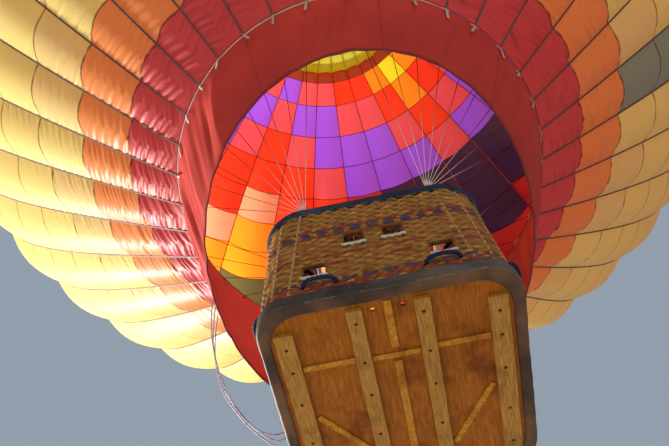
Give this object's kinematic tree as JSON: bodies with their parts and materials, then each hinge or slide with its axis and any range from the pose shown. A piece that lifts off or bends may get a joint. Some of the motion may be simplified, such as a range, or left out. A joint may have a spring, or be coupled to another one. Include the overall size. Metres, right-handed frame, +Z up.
{
  "type": "hot air balloon",
  "caption": "Hot air balloon with a wicker basket, a gimballed burner, a skirt and a bulged-gore envelope closed by a parachute vent.",
  "frame": {"origin": "under the basket's centre, level with the undersides of the floor runners, on the air mount", "axes": "+Z up along the envelope's axis, -Y towards the basket's front wall, +X across the basket"},
  "size_m": [15.1048, 15.1048, 16.1488],
  "materials": {
    "plywood": "worn varnished plywood",
    "runner_wood": "weathered hardwood",
    "batten_wood": "pale softwood",
    "rawhide": "scuffed rawhide",
    "wicker": "varnished willow weave",
    "rim_suede": "padded suede",
    "rope": "twisted rope",
    "cylinder_steel": "brushed",
    "sleeve": "padded sleeve",
    "frame_steel": "satin",
    "burner_steel": "polished with heat tint",
    "wire": "stranded wire",
    "tape_white": "woven webbing",
    "tape_dark": "woven webbing",
    "fabric_red": "coated ripstop",
    "fabric_orange": "coated ripstop",
    "fabric_gold": "coated ripstop",
    "fabric_olive": "coated ripstop",
    "skirt_red": "heat-resistant weave",
    "line_white": "braided line"
  },
  "bodies": {
    "balloon": {"floor_panel": "plywood", "runner_outer_left": "runner_wood", "runner_inner_left": "runner_wood", "runner_inner_right": "runner_wood", "runner_outer_right": "runner_wood", "batten_centre_front": "batten_wood", "batten_centre_rear": "batten_wood", "batten_cross_left": "batten_wood", "batten_cross_middle": "batten_wood", "batten_cross_right": "batten_wood", "batten_diagonal_left": "batten_wood", "batten_diagonal_right": "batten_wood", "edge_band": "rawhide", "basket_wall": "wicker", "rim_pad": "rim_suede", "rope_handle_front_left": "rope", "rope_handle_front_right": "rope", "rope_handle_rear_left": "rope", "rope_handle_rear_right": "rope", "rope_handle_side_left": "rope", "rope_handle_side_right": "rope", "fuel_cylinder_front_left": "cylinder_steel", "fuel_cylinder_front_right": "cylinder_steel", "fuel_cylinder_rear_left": "cylinder_steel", "fuel_cylinder_rear_right": "cylinder_steel", "upright_front_left": "sleeve", "upright_front_right": "sleeve", "upright_rear_right": "sleeve", "upright_rear_left": "sleeve", "burner_frame": "frame_steel", "envelope_mouth_band": "fabric_red", "envelope_lower": "fabric_orange", "envelope_middle": "fabric_gold", "envelope_crown": "fabric_gold", "crown_tapes": "tape_dark", "mouth_ring": "tape_white", "skirt": "skirt_red", "flying_wires_front_left": "wire", "flying_wires_front_right": "wire", "flying_wires_rear_right": "wire", "flying_wires_rear_left": "wire", "crown_line": "line_white", "vent_line": "line_white", "drop_line": "line_white"},
    "gimbal": {"gimbal_ring": "frame_steel"},
    "burner": {"burner_unit": "burner_steel"},
    "vent": {"parachute_vent": "fabric_olive"}
  },
  "joints": [
    {"name": "gimbal_tilt", "type": "hinge", "parent": "balloon", "child": "gimbal", "pos_m": [0, 0, 1.8], "axis": [1, 0, 0], "range_deg": [-10, 10]},
    {"name": "burner_tilt", "type": "hinge", "parent": "gimbal", "child": "burner", "pos_m": [0, 0, 1.8], "axis": [0, 1, 0], "range_deg": [-10, 10]},
    {"name": "vent_pull", "type": "slide", "parent": "balloon", "child": "vent", "axis": [0, 0, -1], "range_m": [0, 1]}
  ]
}
